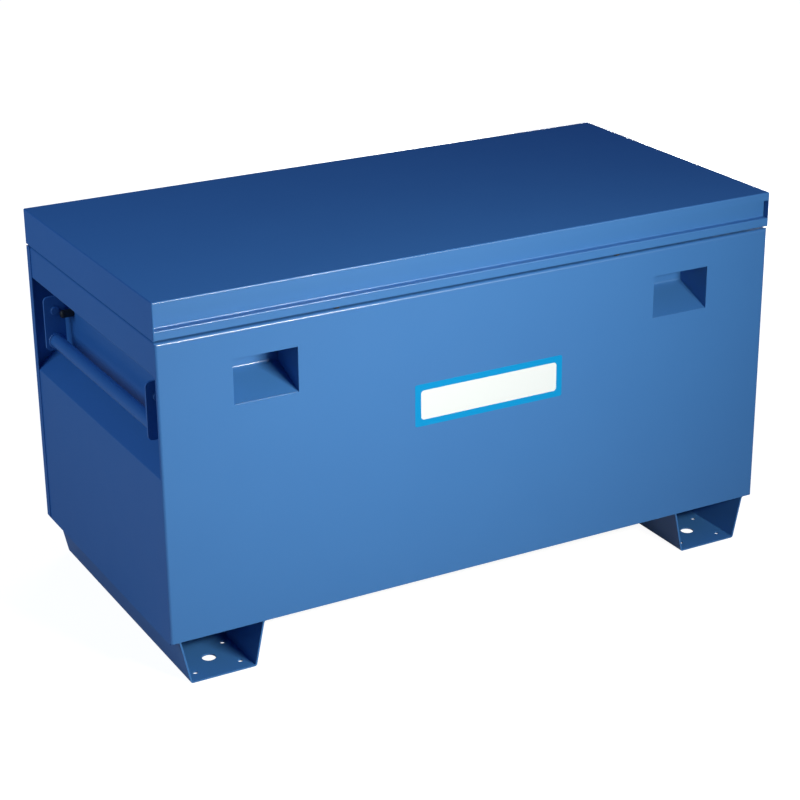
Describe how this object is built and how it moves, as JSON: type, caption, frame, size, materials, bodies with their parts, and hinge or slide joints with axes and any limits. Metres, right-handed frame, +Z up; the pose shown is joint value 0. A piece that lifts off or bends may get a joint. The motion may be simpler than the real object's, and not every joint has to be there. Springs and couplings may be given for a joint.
{
  "type": "steel tool trunk",
  "caption": "Folded-steel tool trunk on two skids with a hinged lid, recessed padlock pockets, drop handles in side recesses and gas struts inside.",
  "frame": {"origin": "on the floor, at the centre of the trunk's box", "axes": "+X to the right seen from the front, +Y to the back, +Z up"},
  "size_m": [1.22, 0.61, 0.694],
  "materials": {
    "blue_paint": "semi-gloss powder coat",
    "zinc_steel": "zinc plated",
    "strut_paint": "satin black",
    "rod_chrome": "hard chrome",
    "button_rubber": "matt",
    "gland_plastic": "matt black"
  },
  "bodies": {
    "trunk": {"front_panel": "blue_paint", "rear_panel": "blue_paint", "left_side_panel": "blue_paint", "right_side_panel": "blue_paint", "floor_panel": "blue_paint", "rim_buttons": "button_rubber", "left_skid": "blue_paint", "right_skid": "blue_paint", "left_lock_pocket": "blue_paint", "right_lock_pocket": "blue_paint", "left_lock_staple": "blue_paint", "right_lock_staple": "blue_paint", "hinge_body_leaf": "blue_paint", "hinge_body_rivets": "blue_paint", "hinge_pin": "zinc_steel", "gland_body": "gland_plastic", "gland_cap": "gland_plastic", "gland_nut": "gland_plastic", "left_handle_lugs": "blue_paint", "right_handle_lugs": "blue_paint", "left_handle_bolts": "blue_paint", "right_handle_bolts": "blue_paint", "left_handle_washers": "blue_paint", "right_handle_washers": "blue_paint", "left_handle_nuts": "zinc_steel", "right_handle_nuts": "zinc_steel", "left_strut_body_bracket": "blue_paint", "right_strut_body_bracket": "blue_paint"},
    "lid": {"lid_cover": "blue_paint", "lid_front_channel": "blue_paint", "left_lid_brace": "blue_paint", "right_lid_brace": "blue_paint", "left_hasp": "blue_paint", "right_hasp": "blue_paint", "hinge_lid_leaf": "blue_paint", "hinge_lid_rivets": "blue_paint", "left_strut_lid_bracket": "blue_paint", "right_strut_lid_bracket": "blue_paint"},
    "left_handle": {"left_handle_ears": "blue_paint", "left_handle_grip": "blue_paint"},
    "left_strut_barrel": {"left_strut_tube": "strut_paint", "left_strut_foot": "strut_paint"},
    "left_strut_plunger": {"left_strut_rod": "rod_chrome", "left_strut_head": "strut_paint"},
    "right_handle": {"right_handle_ears": "blue_paint", "right_handle_grip": "blue_paint"},
    "right_strut_barrel": {"right_strut_tube": "strut_paint", "right_strut_foot": "strut_paint"},
    "right_strut_plunger": {"right_strut_rod": "rod_chrome", "right_strut_head": "strut_paint"}
  },
  "joints": [
    {"name": "lid_hinge", "type": "hinge", "parent": "trunk", "child": "lid", "pos_m": [0, 0.3005, 0.627], "axis": [-1, 0, 0], "range_deg": [0, 85]},
    {"name": "left_handle_swing", "type": "hinge", "parent": "trunk", "child": "left_handle", "pos_m": [-0.586, -0.005, 0.513], "axis": [0, 1, 0], "range_deg": [-6, 130]},
    {"name": "left_strut_swing", "type": "hinge", "parent": "trunk", "child": "left_strut_barrel", "pos_m": [-0.5365, 0.15, 0.48], "axis": [-1, 0, 0], "range_deg": [0, 25.5]},
    {"name": "left_strut_slide", "type": "slide", "parent": "left_strut_barrel", "child": "left_strut_plunger", "axis": [0, 0.1585, 0.9874], "range_m": [0, 0.1345]},
    {"name": "right_handle_swing", "type": "hinge", "parent": "trunk", "child": "right_handle", "pos_m": [0.586, -0.005, 0.513], "axis": [0, -1, 0], "range_deg": [-6, 130]},
    {"name": "right_strut_swing", "type": "hinge", "parent": "trunk", "child": "right_strut_barrel", "pos_m": [0.5365, 0.15, 0.48], "axis": [-1, 0, 0], "range_deg": [0, 25.5]},
    {"name": "right_strut_slide", "type": "slide", "parent": "right_strut_barrel", "child": "right_strut_plunger", "axis": [0, 0.1585, 0.9874], "range_m": [0, 0.1345]}
  ],
  "couplings": [
    {"joint": "left_strut_swing", "follows": "lid_hinge", "ratio": 0.29368},
    {"joint": "left_strut_slide", "follows": "lid_hinge", "m_per_rad": 0.090267},
    {"joint": "right_strut_swing", "follows": "lid_hinge", "ratio": 0.29368},
    {"joint": "right_strut_slide", "follows": "lid_hinge", "m_per_rad": 0.090267}
  ]
}
